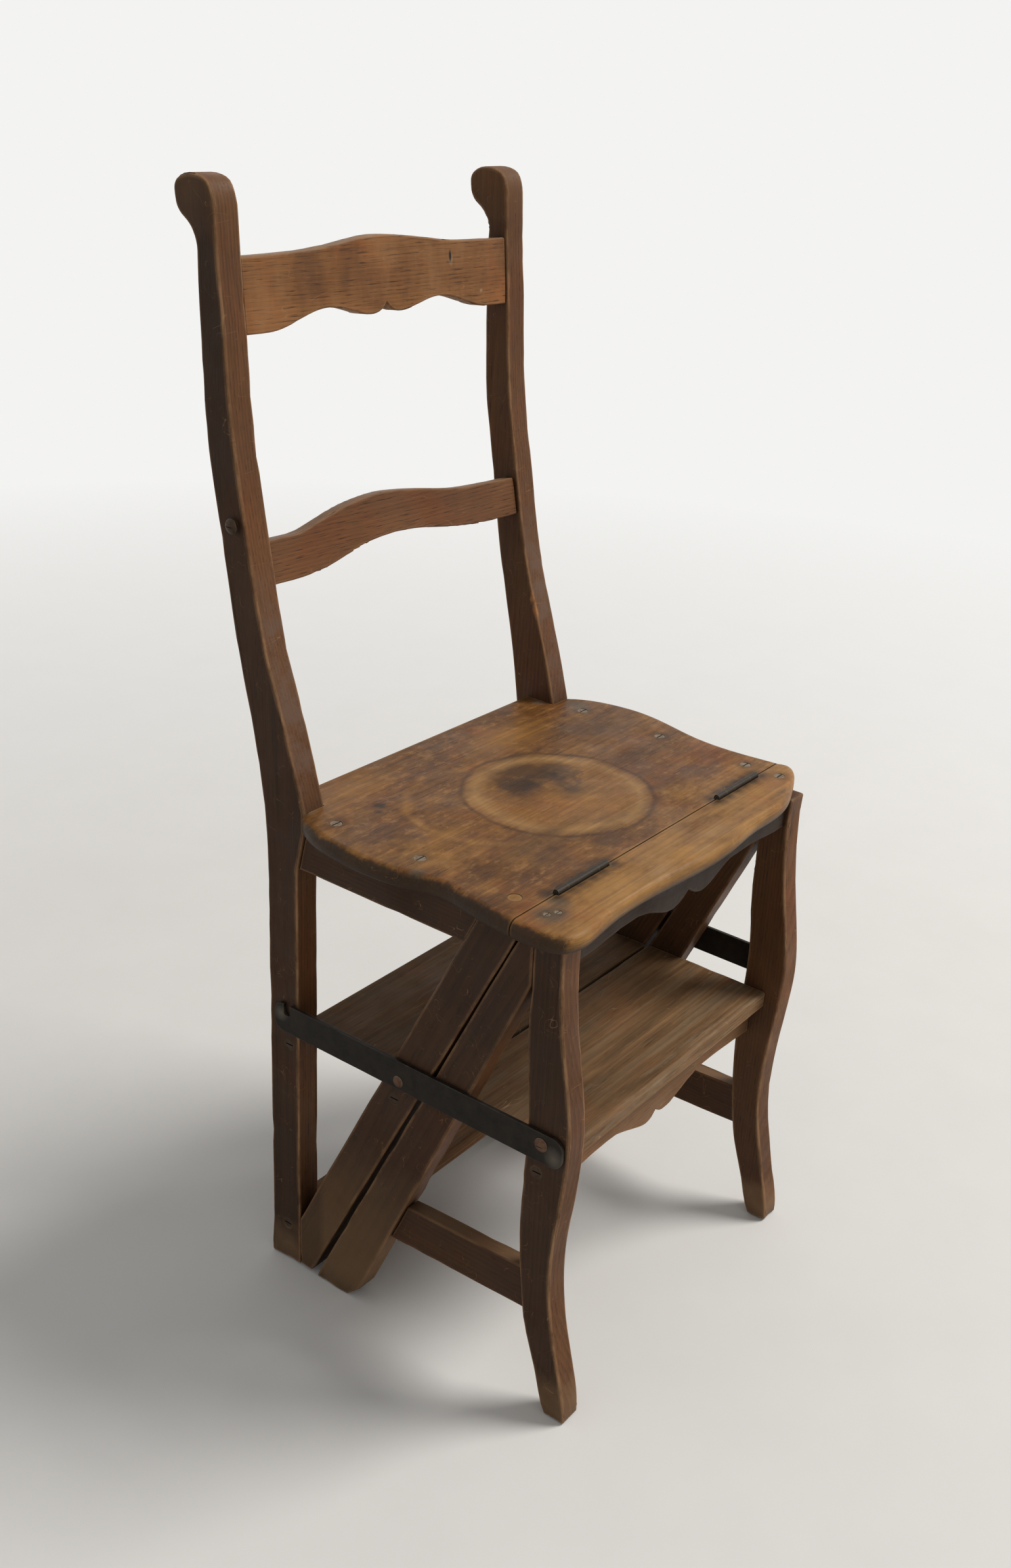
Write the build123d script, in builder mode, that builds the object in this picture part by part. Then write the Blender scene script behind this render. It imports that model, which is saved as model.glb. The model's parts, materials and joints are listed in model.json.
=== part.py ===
from build123d import *
import os
from math import cos, radians, sin, sqrt

# Library step chair, in millimetres.
# X runs across the chair, Y from its front to its back and Z up, with the floor at z = 0.
# Left and right are those of someone who stands in front of the chair and looks at it.
# The rear half of the chair turns over about the hinges in the seat, up and forwards, and
# the chair becomes a set of four steps.
# In the profiles, y is measured from the hinge seam in the seat, and z from the floor.

# Chair
seat_height = 457.0
seat_thickness = 16.0
frame_width = 352.0
toe_reach = 65.0
back_knee = 223.0
back_rake = 122.0
axis_rise = 1.0

# Boards that the frames are sawn from
front_board = 22.0
rear_board = 24.0

# Split between the two halves
split_drop = 9.0
front_split_gap = 0.5
rear_split_gap = 0.3
front_stringer_toe = 166.0
front_stringer_heel = 212.3
front_toe_wear = 8.0
front_toe_wear_height = 14.0
rear_stringer_toe = 218.0
rear_stringer_run = 39.0
nose_drop = 58.0
rear_foot_lift = 3.0
body_gap = 0.3

# Front leg outline, from top to floor and back up: shares of toe_reach and of the leg's length
leg_front_shares = [
    (0.515, 1.0), (0.523, 0.88), (0.646, 0.746), (0.754, 0.634), (0.738, 0.548), (0.692, 0.472),
    (0.626, 0.357), (0.662, 0.247), (0.77, 0.164), (0.908, 0.081), (1.0, 0.0),
]
leg_back_shares = [
    (0.669, 0.0), (0.569, 0.048), (0.462, 0.104), (0.317, 0.168), (0.2, 0.267), (0.138, 0.353),
    (0.138, 0.53), (0.154, 0.627), (0.108, 0.72), (0.077, 0.86),
]

# Back post below the seat
rear_leg_front = 231.0
rear_leg_depth = 33.0
rear_heel_kick = 3.0
heel_kick_height = 40.0
knee_band = 36.0
waist_drop = 72.0

# Back post above the seat: shares of back_rake and of the post's height over the seat
post_back_shares = [
    (0.366, 0.0), (0.411, 0.072), (0.484, 0.163), (0.577, 0.272), (0.65, 0.381), (0.732, 0.507),
    (0.772, 0.57), (0.805, 0.672), (0.817, 0.751), (0.825, 0.831), (0.826, 0.889),
]
scroll_shares = [
    (0.826, 0.889), (0.854, 0.914), (0.902, 0.929), (0.951, 0.938), (0.984, 0.949), (0.9977, 0.9635),
    (0.996, 0.981), (0.951, 0.9935), (0.878, 0.9994), (0.789, 0.9984), (0.724, 0.9915),
    (0.688, 0.976), (0.672, 0.957), (0.664, 0.925),
]
post_front_shares = [
    (0.664, 0.925), (0.646, 0.857), (0.618, 0.779), (0.593, 0.681), (0.549, 0.58), (0.488, 0.488),
    (0.419, 0.394), (0.337, 0.289), (0.25, 0.214), (0.118, 0.107), (0.0, 0.0),
]

# Seat
seat_overhang = 24.0
panel_depth = 253.0
strip_depth = 50.0
seam_gap = 1.2
seat_round = 7.0
# Seat sides, from the posts forwards: shares of half the seat's width and of back_knee
seat_left_shares = [
    (0.889, 1.0), (0.947, 0.92), (0.982, 0.807), (0.995, 0.695), (0.995, 0.57), (0.978, 0.471),
    (0.953, 0.39), (0.945, 0.296), (0.96, 0.225), (0.974, 0.161), (0.988, 0.081), (0.997, 0.0),
]
seat_right_shares = [
    (0.9, 1.0), (0.955, 0.92), (0.99, 0.807), (1.0, 0.703), (0.985, 0.59), (0.955, 0.484),
    (0.925, 0.374), (0.913, 0.269), (0.915, 0.17), (0.925, 0.081), (0.935, 0.0),
]
# Front edge of the seat from left to right: shares of half the seat's width and of strip_depth
seat_front_shares = [
    (-0.997, 0.0), (-1.0, 0.3), (-0.995, 0.56), (-0.965, 0.84), (-0.89, 0.98), (-0.785, 0.96),
    (-0.65, 0.89), (-0.5, 0.87), (-0.28, 0.92), (-0.07, 0.99), (0.06, 1.0), (0.2, 0.96),
    (0.36, 0.9), (0.5, 0.9), (0.645, 0.83), (0.75, 0.68), (0.87, 0.46), (0.94, 0.24),
    (0.935, 0.0),
]
seat_rail_depth = 36.0
seat_rail_thickness = 20.0
seat_rail_inset = 3.0

# Seat aprons: shares of half the span and of the apron's height, from the middle outwards
seat_apron_height = 37.0
seat_apron_front = 28.0
seat_apron_thickness = 12.0
seat_apron_shares = [
    (0.0, 0.74), (0.06, 0.9), (0.143, 1.0), (0.22, 0.95), (0.325, 0.78), (0.42, 0.67),
    (0.55, 0.63), (0.68, 0.65), (0.8, 0.7), (1.0, 0.72),
]
tread_apron_height = 42.0
tread_apron_front = 20.0
tread_apron_thickness = 14.0
tread_apron_shares = [
    (0.0, 0.85), (0.045, 0.96), (0.1, 1.0), (0.18, 0.93), (0.273, 0.81), (0.4, 0.67),
    (0.55, 0.64), (0.75, 0.68), (0.9, 0.74), (1.0, 0.76),
]

# Treads
tread_top = 248.0
tread_thickness = 16.0
lower_tread_front = 33.0
upper_tread_lap = 13.0
top_tread_top = 50.0
top_tread_depth = 66.0
top_tread_inset = 2.0
tread_round = 2.5

# Side stretchers
stretcher_bottom = 94.0
stretcher_fall = 7.0
stretcher_depth = 40.0
stretcher_thickness = 14.0
stretcher_inset = 5.0

# Back rails: places as shares of back_rake and of the post's height over the seat, and edges
# as shares of half the span and of the rail's height; those of the top rail from the middle outwards
top_rail_place_shares = (0.631, 0.764)
top_rail_height = 54.0
top_rail_thickness = 14.0
top_rail_lean_angle = 5.0
top_rail_top_shares = [
    (0.0, 1.165), (0.164, 1.14), (0.296, 1.1), (0.395, 1.065), (0.546, 1.027), (0.704, 1.008),
    (0.86, 1.0), (1.0, 1.0),
]
top_rail_bottom_shares = [
    (0.0, 0.23), (0.035, 0.13), (0.118, 0.082), (0.23, 0.136), (0.329, 0.21), (0.434, 0.243),
    (0.553, 0.19), (0.658, 0.1), (0.789, 0.015), (0.9, 0.0), (1.0, 0.0),
]
mid_rail_place_shares = (0.434, 0.369)
mid_rail_height = 34.5
mid_rail_thickness = 12.0
mid_rail_lean_angle = 11.0
# Edges of the middle rail, whole, from left to right
mid_rail_top_shares = [
    (-1.0, 0.975), (-0.86, 0.97), (-0.757, 0.98), (-0.657, 1.075), (-0.557, 1.182), (-0.454, 1.284),
    (-0.351, 1.358), (-0.248, 1.404), (-0.144, 1.42), (-0.04, 1.395), (0.171, 1.289), (0.334, 1.173),
    (0.501, 1.075), (0.737, 1.015), (1.0, 1.0),
]
mid_rail_bottom_shares = [
    (-1.0, -0.03), (-0.804, -0.03), (-0.708, -0.015), (-0.61, 0.035), (-0.506, 0.128), (-0.401, 0.24),
    (-0.295, 0.333), (-0.189, 0.385), (-0.083, 0.408), (0.024, 0.4), (0.132, 0.357), (0.296, 0.25),
    (0.464, 0.14), (0.701, 0.06), (1.0, 0.04),
]
tenon_length = 14.0
tenon_thickness = 6.0
tenon_shoulder = 7.0
tenon_gap = 0.1

# Butt hinges in the seam
hinge_length = 65.0
hinge_inset = 31.0
knuckle_count = 5
knuckle_radius = 2.6
knuckle_end_gap = 0.3
knuckle_groove_gap = 0.4
pin_radius = 1.2
pin_gap = 0.06
leaf_thickness = 1.5
leaf_gap = 0.5
leaf_depth = 14.0
leaf_seat_gap = 0.1
leaf_screw_pitch = 22.0

# Stays: flat iron bars outside the frames
stay_gap = 0.3
stay_thickness = 3.0
stay_width = 27.0
stay_front = -46.0
stay_corner = 10.0
stay_pivot_y = -26.0
stay_centre_height = 262.5
stay_pivot_rise = 3.0
notch_end = 14.0
notch_seat_rise = 6.5
notch_width = 7.0
# Hook screw on the post: shares of back_rake and of the post's height over the seat
hook_place_shares = (0.563, 0.4714)
rivet_y = 117.0
rivet_drop = 6.0
rivet_head_radius = 5.0
rivet_head_height = 2.4
rivet_radius = 2.5

# Screws: radius of the head, radius of the shank, length under the surface
seat_screw = (4.5, 2.2, 38.0)
nail_screw = (2.6, 1.4, 30.0)
side_screw = (4.2, 2.2, 40.0)
leaf_screw = (2.2, 1.0, 10.0)
round_head_radius = 6.0
round_head_height = 3.0
round_shank_radius = 2.5
round_shank_length = 18.0
screw_sink = 0.4
screw_gap = 0.1
slot_width_share = 0.3
slot_depth_share = 0.3
tip_share = 1.5

# Places of the screws, as y from the seam, and x in from the frames' outer faces
left_screw_inset = 7.0
right_screw_inset = 16.0
panel_front_screw_y = 19.0
panel_mid_screw_y = 109.0
panel_back_screw_y = 194.5
strip_screw_y = -15.0
nail_spread = 8.0
nail_step = 4.0
plug_radius = 5.5
plug_depth = 8.0
tread_screw_drop = 13.0
leg_screw_y = -21.0
post_screw_inset = 11.0
foot_screw_inset = 15.0

# Worked out from the sizes above
overrun = seat_thickness
hinge_height = seat_height + axis_rise
post_top = 2 * hinge_height
half_frame = frame_width / 2
front_half_span = half_frame - front_board
rear_half_span = half_frame - rear_board
under_seat = seat_height - seat_thickness
split_height = hinge_height - split_drop
nose_height = under_seat - nose_drop
waist_height = seat_height - waist_drop
back_height = post_top - seat_height
seat_half_width = half_frame + seat_overhang
hinge_centre = half_frame - hinge_inset - hinge_length / 2
seam_y = (toe_reach - back_knee - back_rake) / 2
sides = (("left", -1), ("right", 1))

os.makedirs("parts", exist_ok=True)


def save(piece, name):
    """Label a finished piece and write it to its own file."""
    piece.part.label = name
    export_step(piece.part, f"parts/{name}.step")


# Planes. Their own x and y are the chair's, so each profile is drawn as it is seen.


def side_plane(x):
    """Seen from the right: y from the seam, and z."""
    return Plane(origin=(x, seam_y, 0), x_dir=(0, 1, 0), z_dir=(1, 0, 0))


def top_plane(z):
    """Seen from above: x, and y from the seam."""
    return Plane(origin=(0, seam_y, z), x_dir=(1, 0, 0), z_dir=(0, 0, 1))


def front_plane(y, z, lean=0.0):
    """Seen from the front: x, and the height above z along a face that leans back by lean degrees."""
    tilt = radians(lean)
    return Plane(origin=(0, seam_y + y, z), x_dir=(1, 0, 0), z_dir=(0, -cos(tilt), sin(tilt)))


def side_place(side, y, z):
    """A place on a frame's outer face, with its own z axis pointing outwards."""
    return Plane(origin=(side * half_frame, seam_y + y, z), x_dir=(0, 1, 0), z_dir=(side, 0, 0))


def seat_place(x, y):
    """A place on the seat's top, with its own z axis pointing up."""
    return Plane(origin=(x, seam_y + y, seat_height), x_dir=(1, 0, 0), z_dir=(0, 0, 1))


def board_start(side, thickness, inset=0.0):
    """The lower x of a board that stands inside a frame's outer face."""
    if side < 0:
        return inset - half_frame
    return half_frame - inset - thickness


def share_points(shares, width, height, x=0.0, y=0.0):
    """Points of an outline from its shares of a width and a height."""
    return [(x + width * across, y + height * up) for across, up in shares]


def mirrored(points):
    """Points that run from the middle outwards, as one row from the left end to the right end."""
    left_half = [(-x, y) for x, y in reversed(points[1:])]
    return left_half + points


# Split lines and stringers


def front_split(z):
    """y of the front stringer's rear edge at a height."""
    return front_stringer_heel * (split_height - z) / split_height - front_split_gap


def rear_split(z):
    """y of the rear stringer's front edge at a height."""
    return rear_stringer_toe * (split_height - z) / split_height + rear_split_gap


def stringer_nose(z):
    """y of the front stringer's front edge at a height."""
    return front_stringer_toe * (nose_height - z) / nose_height


# Places of the screws


left_screw_x = left_screw_inset - half_frame
right_screw_x = half_frame - right_screw_inset
tread_screw_z = tread_top - tread_screw_drop
top_tread_screw_z = top_tread_top - tread_thickness / 2
stringer_screw_y = rear_split(tread_screw_z) + rear_stringer_run / 2
post_screw_y = rear_leg_front + post_screw_inset
foot_screw_y = rear_leg_front + foot_screw_inset
leg_screw_places = [side_place(side, leg_screw_y, tread_screw_z) for _, side in sides]
stringer_screw_places = [side_place(side, stringer_screw_y, tread_screw_z) for _, side in sides]
post_screw_places = [side_place(side, post_screw_y, tread_screw_z) for _, side in sides]
foot_screw_places = [side_place(side, foot_screw_y, top_tread_screw_z) for _, side in sides]
panel_screw_places = [
    seat_place(right_screw_x, panel_front_screw_y),
    seat_place(right_screw_x, panel_mid_screw_y),
    seat_place(left_screw_x, panel_mid_screw_y),
    seat_place(right_screw_x, panel_back_screw_y),
    seat_place(left_screw_x, panel_back_screw_y),
]
plug_place = seat_place(left_screw_x, panel_front_screw_y)
strip_screw_place = seat_place(right_screw_x, strip_screw_y)
nail_places = [
    seat_place(left_screw_x - nail_spread / 2, strip_screw_y + nail_step / 2),
    seat_place(left_screw_x + nail_spread / 2, strip_screw_y - nail_step / 2),
]


def notch_reach(hook_y, hook_z):
    """Distance of the notch from the stay's pivot, where it meets the turned-over post's hook screw."""
    across = stay_pivot_y + hook_y
    up = pivot_height - 2 * hinge_height + hook_z
    rise = notch_seat_rise - stay_pivot_rise
    return sqrt(across**2 + up**2 - rise**2)


pivot_height = stay_centre_height + stay_pivot_rise
hook_y = back_knee + back_rake * hook_place_shares[0]
hook_z = seat_height + back_height * hook_place_shares[1]
notch_y = stay_pivot_y + notch_reach(hook_y, hook_z)
stay_back = notch_y + notch_end
hook_places = [side_place(side, hook_y, hook_z) for _, side in sides]
pivot_places = [side_place(side, stay_pivot_y, pivot_height) for _, side in sides]


def screw_hole(screw, place):
    """Cut the countersunk hole of a screw whose head lies at a place."""
    head, shank, length = screw
    with Locations(place):
        CounterSinkHole(
            radius=shank + screw_gap,
            counter_sink_radius=head + screw_sink + screw_gap,
            depth=length + screw_gap,
            counter_sink_angle=90,
        )


def shank_hole(radius, place, start, length):
    """Cut the plain bore of a shank, from a depth below its place to the shank's end."""
    with Locations(place.offset(-start)):
        Cylinder(
            radius=radius + screw_gap,
            height=length - start + screw_gap,
            align=(Align.CENTER, Align.CENTER, Align.MAX),
            mode=Mode.SUBTRACT,
        )


# Front half


def make_front_leg(side):
    """S-shaped front leg, sawn from a board."""
    leg_length = under_seat
    front_edge = share_points(leg_front_shares, -toe_reach, leg_length)
    back_edge = share_points(leg_back_shares, -toe_reach, leg_length)
    top_back = (back_edge[-1][0], leg_length)
    with BuildPart() as leg:
        with BuildSketch(side_plane(board_start(side, front_board))):
            with BuildLine():
                Spline(*front_edge)
                Line(front_edge[-1], back_edge[0])
                Spline(*back_edge)
                Polyline(back_edge[-1], top_back, front_edge[0])
            make_face()
        extrude(amount=front_board)
        screw_hole(side_screw, side_place(side, leg_screw_y, tread_screw_z))
        shank_hole(
            round_shank_radius, side_place(side, stay_pivot_y, pivot_height), -overrun, round_shank_length
        )
        if side > 0:
            shank_hole(seat_screw[1], strip_screw_place, seat_thickness, seat_screw[2])
        else:
            for place in nail_places:
                shank_hole(nail_screw[1], place, seat_thickness, nail_screw[2])
    return leg


def make_front_stringer(side):
    """Slanting foot of the front half, butted against the back of the front leg."""
    leg_back = leg_back_shares[-1][0] * -toe_reach
    top = under_seat - body_gap
    nose_top = nose_height * (front_stringer_toe - leg_back) / front_stringer_toe
    with BuildPart() as stringer:
        with BuildSketch(side_plane(board_start(side, front_board))):
            with BuildLine():
                Polyline(
                    (leg_back, top),
                    (front_split(top), top),
                    (front_split(0), 0),
                    (front_stringer_toe + front_toe_wear, 0),
                    (stringer_nose(front_toe_wear_height), front_toe_wear_height),
                    (leg_back, nose_top),
                    close=True,
                )
            make_face()
        extrude(amount=front_board)
    return stringer


def make_side_stretcher(side, leg, stringer):
    """Rail between the front leg and the front stringer, cut to the shape of both."""
    rear_bottom = stretcher_bottom - stretcher_fall
    start = -toe_reach * (leg_front_shares[-4][0] + leg_back_shares[3][0]) / 2
    end = (stringer_nose(rear_bottom) + front_split(stretcher_bottom + stretcher_depth)) / 2
    with BuildPart() as stretcher:
        with BuildSketch(side_plane(board_start(side, stretcher_thickness, stretcher_inset))):
            with BuildLine():
                Polyline(
                    (start, stretcher_bottom),
                    (end, rear_bottom),
                    (end, rear_bottom + stretcher_depth),
                    (start, stretcher_bottom + stretcher_depth),
                    close=True,
                )
            make_face()
        extrude(amount=stretcher_thickness)
        add(leg.part, mode=Mode.SUBTRACT)
        add(stringer.part, mode=Mode.SUBTRACT)
    return stretcher


def make_tread(half_span, front, back, top, screw_places, round_back=False):
    """Plain board between two frames, with its exposed long edges rounded."""
    with BuildPart() as tread:
        with BuildSketch(top_plane(top - tread_thickness)):
            with Locations((0, (front + back) / 2)):
                Rectangle(2 * half_span, back - front)
        extrude(amount=tread_thickness)
        rounded = tread.faces().sort_by(Axis.Y)[0].edges().filter_by(Axis.X)
        if round_back:
            rounded = rounded + tread.faces().sort_by(Axis.Y)[-1].edges().filter_by(Axis.X)
        fillet(rounded, radius=tread_round)
        for place in screw_places:
            shank_hole(side_screw[1], place, half_frame - half_span, side_screw[2])
    return tread


def make_apron(half_span, top, front, thickness, height, shares):
    """Scalloped board under a tread or the seat."""
    bottom_edge = share_points(shares, half_span, -height)
    bottom_row = mirrored(bottom_edge)
    with BuildPart() as apron:
        with BuildSketch(front_plane(-front, top)):
            with BuildLine():
                Spline(*bottom_row[: len(bottom_edge)])
                Spline(*bottom_edge)
                Polyline(bottom_row[-1], (half_span, 0), (-half_span, 0), bottom_row[0])
            make_face()
        extrude(amount=-thickness)
    return apron


# Seat


def make_seat_outline():
    """Wavy outline of the whole seat, with square notches at the back for the posts."""
    left_edge = share_points(seat_left_shares, -seat_half_width, back_knee)
    right_edge = share_points(seat_right_shares, seat_half_width, back_knee)
    front_edge = share_points(seat_front_shares, seat_half_width, -strip_depth)
    with BuildSketch() as outline:
        with BuildLine():
            Spline(*left_edge)
            Spline(*front_edge)
            Spline(*right_edge)
            Polyline(
                left_edge[0],
                (-rear_half_span, back_knee),
                (-rear_half_span, panel_depth),
                (rear_half_span, panel_depth),
                (rear_half_span, back_knee),
                right_edge[0],
            )
        make_face()
    return outline.sketch


def cut_leaf_recesses(back):
    """Pockets for the hinge leaves and grooves for their knuckles in a seam edge, with the screws' bores."""
    reach = leaf_gap / 2 + leaf_thickness + leaf_seat_gap
    groove = knuckle_radius + knuckle_groove_gap
    with Locations(seat_place(-hinge_centre, 0), seat_place(hinge_centre, 0)):
        Box(hinge_length + 2 * knuckle_groove_gap, 2 * groove, 2 * (groove - axis_rise), mode=Mode.SUBTRACT)
    with Locations(seat_place(-hinge_centre, 0), seat_place(hinge_centre, 0)):
        Box(
            hinge_length + 2 * leaf_seat_gap,
            2 * reach,
            2 * (leaf_depth + leaf_seat_gap),
            mode=Mode.SUBTRACT,
        )
    for place in leaf_screw_places(back):
        shank_hole(leaf_screw[1], place, leaf_thickness, leaf_screw[2])


def leaf_screw_places(back):
    """Places of the leaf screws, their heads facing the seam."""
    height = seat_height - leaf_depth / 2
    return [
        Plane(
            origin=(centre + step * leaf_screw_pitch, seam_y + back * leaf_gap / 2, height),
            x_dir=(1, 0, 0),
            z_dir=(0, -back, 0),
        )
        for centre in (-hinge_centre, hinge_centre)
        for step in (-1, 0, 1)
    ]


def make_seat_board(back):
    """One part of the seat: the panel behind the seam (back = 1) or the strip before it (back = -1)."""
    away = back_knee + back_rake + toe_reach
    with BuildPart() as board:
        with BuildSketch(top_plane(under_seat)):
            add(make_seat_outline())
            with Locations((0, back * (seam_gap - away) / 2)):
                Rectangle(4 * seat_half_width, away, mode=Mode.SUBTRACT)
        extrude(amount=seat_thickness)
        long_edges = board.edges().group_by(Axis.Z)[-1] + board.edges().group_by(Axis.Z)[0]
        fillet(
            [edge for edge in long_edges if is_wavy_edge(edge)],
            radius=seat_round,
        )
        cut_leaf_recesses(back)
        if back > 0:
            for place in panel_screw_places:
                screw_hole(seat_screw, place)
            with Locations(plug_place):
                Hole(radius=plug_radius + screw_gap, depth=plug_depth)
        else:
            screw_hole(seat_screw, strip_screw_place)
            for place in nail_places:
                screw_hole(nail_screw, place)
    return board


def is_wavy_edge(edge):
    """True for the curved edges of the seat outline."""
    return edge.geom_type != GeomType.LINE


def make_plug():
    """Wooden plug over a sunk screw in the seat."""
    with BuildPart() as plug:
        with Locations(plug_place.offset(-screw_sink)):
            Cylinder(
                radius=plug_radius,
                height=plug_depth - screw_sink,
                align=(Align.CENTER, Align.CENTER, Align.MAX),
            )
    return plug


# Rear half


def make_back_post(side):
    """Rear leg, back post and scroll in one piece, sawn from a board."""
    back_edge = share_points(post_back_shares, back_rake, back_height, back_knee, seat_height)
    scroll = share_points(scroll_shares, back_rake, back_height, back_knee, seat_height)
    front_edge = share_points(post_front_shares, back_rake, back_height, back_knee, seat_height)
    leg_back = rear_leg_front + rear_leg_depth
    with BuildPart() as post:
        with BuildSketch(side_plane(board_start(side, rear_board))):
            with BuildLine():
                Spline((leg_back, waist_height), *back_edge, tangents=((0, 1), (0, 1)))
                Spline(*scroll)
                Spline(*front_edge)
                Polyline(
                    front_edge[-1],
                    (back_knee, under_seat),
                    (rear_leg_front, under_seat - knee_band),
                    (rear_leg_front, 0),
                    (leg_back + rear_heel_kick, 0),
                    (leg_back, heel_kick_height),
                    (leg_back, waist_height),
                )
            make_face()
        extrude(amount=rear_board)
        screw_hole(side_screw, side_place(side, post_screw_y, tread_screw_z))
        screw_hole(side_screw, side_place(side, foot_screw_y, top_tread_screw_z))
        shank_hole(round_shank_radius, side_place(side, hook_y, hook_z), -overrun, round_shank_length)
        place_tenons(top_rail_face, top_rail_height, top_rail_thickness, tenon_gap, Mode.SUBTRACT)
        place_tenons(mid_rail_face, mid_rail_height, mid_rail_thickness, tenon_gap, Mode.SUBTRACT)
    return post


def rail_plane(place_shares, lean):
    """Front face of a back rail, from the rail's lower edge up."""
    across, up = place_shares
    return front_plane(back_knee + back_rake * across, seat_height + back_height * up, lean)


def place_tenons(face, height, thickness, gap=0.0, mode=Mode.ADD):
    """Tenon at each end of a rail, rooted as deep in the rail, or its mortise when wider by a gap."""
    with Locations(face):
        with Locations(
            (-rear_half_span, height / 2, -thickness / 2),
            (rear_half_span, height / 2, -thickness / 2),
        ):
            Box(
                2 * (tenon_length + gap),
                height - 2 * tenon_shoulder + 2 * gap,
                tenon_thickness + 2 * gap,
                mode=mode,
            )


def make_back_rail(face, height, thickness, top_shares, bottom_shares, notched):
    """Shaped rail between the posts, tenoned into them; its lower edge may have a middle notch."""
    top_row = share_points(top_shares, rear_half_span, height)
    bottom_row = share_points(bottom_shares, rear_half_span, height)
    middle = len(bottom_row) // 2
    with BuildPart() as rail:
        with BuildSketch(face):
            with BuildLine():
                if notched:
                    Spline(*bottom_row[: middle + 1])
                    Spline(*bottom_row[middle:])
                else:
                    Spline(*bottom_row)
                Line(bottom_row[-1], top_row[-1])
                Spline(*top_row)
                Line(top_row[0], bottom_row[0])
            make_face()
        extrude(amount=-thickness)
        place_tenons(face, height, thickness)
    return rail


def make_rear_stringer(side):
    """Slanting brace of the rear half, from the seat panel down to the rear leg's heel."""
    heel_run = rear_leg_front - rear_split_gap - rear_stringer_run
    heel_top = split_height * (rear_stringer_toe - heel_run) / rear_stringer_toe
    with BuildPart() as stringer:
        with BuildSketch(side_plane(board_start(side, rear_board))):
            with BuildLine():
                Polyline(
                    (rear_split(under_seat), under_seat),
                    (rear_split(under_seat) + rear_stringer_run, under_seat),
                    (rear_leg_front, heel_top),
                    (rear_leg_front, rear_foot_lift),
                    (rear_split(rear_foot_lift), rear_foot_lift),
                    close=True,
                )
            make_face()
        extrude(amount=rear_board)
        screw_hole(side_screw, side_place(side, stringer_screw_y, tread_screw_z))
        if side > 0:
            shank_hole(seat_screw[1], panel_screw_places[0], seat_thickness, seat_screw[2])
    return stringer


def make_seat_rail(side, stringer, post):
    """Rail under the side of the seat panel, cut to the stringer and the post."""
    bottom = under_seat - seat_rail_depth
    start_low = rear_split(bottom) + rear_stringer_run / 2
    start_high = rear_split(under_seat) + rear_stringer_run / 2
    end = rear_leg_front + rear_leg_depth / 2
    with BuildPart() as rail:
        with BuildSketch(side_plane(board_start(side, seat_rail_thickness, seat_rail_inset))):
            with BuildLine():
                Polyline(
                    (start_low, bottom),
                    (end, bottom),
                    (end, under_seat),
                    (start_high, under_seat),
                    close=True,
                )
            make_face()
        extrude(amount=seat_rail_thickness)
        add(stringer.part, mode=Mode.SUBTRACT)
        add(post.part, mode=Mode.SUBTRACT)
        for place in panel_screw_places:
            shank_hole(seat_screw[1], place, seat_thickness, seat_screw[2])
    return rail


# Hinges


def knuckle_spans(centre, back):
    """Start x and length of each knuckle of a leaf: the strip's leaf has the odd ones."""
    pitch = hinge_length / knuckle_count
    first = 0 if back < 0 else 1
    start = centre - hinge_length / 2
    return [
        (start + index * pitch + knuckle_end_gap / 2, pitch - knuckle_end_gap)
        for index in range(first, knuckle_count, 2)
    ]


def make_hinge_leaf(centre, back):
    """Leaf of a butt hinge that stands in the seam, with its knuckles half sunk into the seat's top."""
    bottom = seat_height - leaf_depth
    top = hinge_height - knuckle_radius - knuckle_end_gap
    plate_y = back * (leaf_gap + leaf_thickness) / 2
    bore = pin_radius + pin_gap
    with BuildPart() as leaf:
        with BuildSketch(top_plane(bottom)):
            with Locations((centre, plate_y)):
                Rectangle(hinge_length, leaf_thickness)
        extrude(amount=top - bottom)
        for start, length in knuckle_spans(centre, back):
            with BuildSketch(top_plane(bottom)):
                with Locations((start + length / 2, plate_y)):
                    Rectangle(length, leaf_thickness)
            extrude(amount=hinge_height - bottom)
            with BuildSketch(side_plane(start)):
                with Locations((0, hinge_height)):
                    Circle(knuckle_radius)
            extrude(amount=length)
        with BuildSketch(side_plane(centre - hinge_length)):
            with Locations((0, hinge_height)):
                Circle(bore)
        extrude(amount=2 * hinge_length, mode=Mode.SUBTRACT)
        for place in leaf_screw_places(back):
            if abs(place.origin.X - centre) < hinge_length:
                screw_hole(leaf_screw, place)
    return leaf


def make_hinge_pin(centre):
    """Pin through all the knuckles of a hinge."""
    with BuildPart() as pin:
        with BuildSketch(side_plane(centre - hinge_length / 2)):
            with Locations((0, hinge_height)):
                Circle(pin_radius)
        extrude(amount=hinge_length)
    return pin


# Stays


def make_stay(side):
    """Flat iron bar that turns on the front leg; its end notch hooks the turned-over post."""
    length = stay_back - stay_front
    notch_floor = notch_seat_rise - notch_width / 2
    cut_height = stay_width / 2 - notch_floor + overrun
    with BuildPart() as stay:
        with BuildSketch(side_plane(side * (half_frame + stay_gap))):
            with Locations(((stay_front + stay_back) / 2, stay_centre_height)):
                RectangleRounded(length, stay_width, stay_corner)
            with Locations((stay_pivot_y, pivot_height)):
                Circle(round_shank_radius + pin_gap, mode=Mode.SUBTRACT)
            with Locations((rivet_y, stay_centre_height - rivet_drop)):
                Circle(rivet_radius, mode=Mode.SUBTRACT)
            with Locations((notch_y, stay_centre_height + notch_floor + cut_height / 2)):
                RectangleRounded(notch_width, cut_height, notch_width * slot_depth_share, mode=Mode.SUBTRACT)
        extrude(amount=side * stay_thickness)
    return stay


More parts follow.
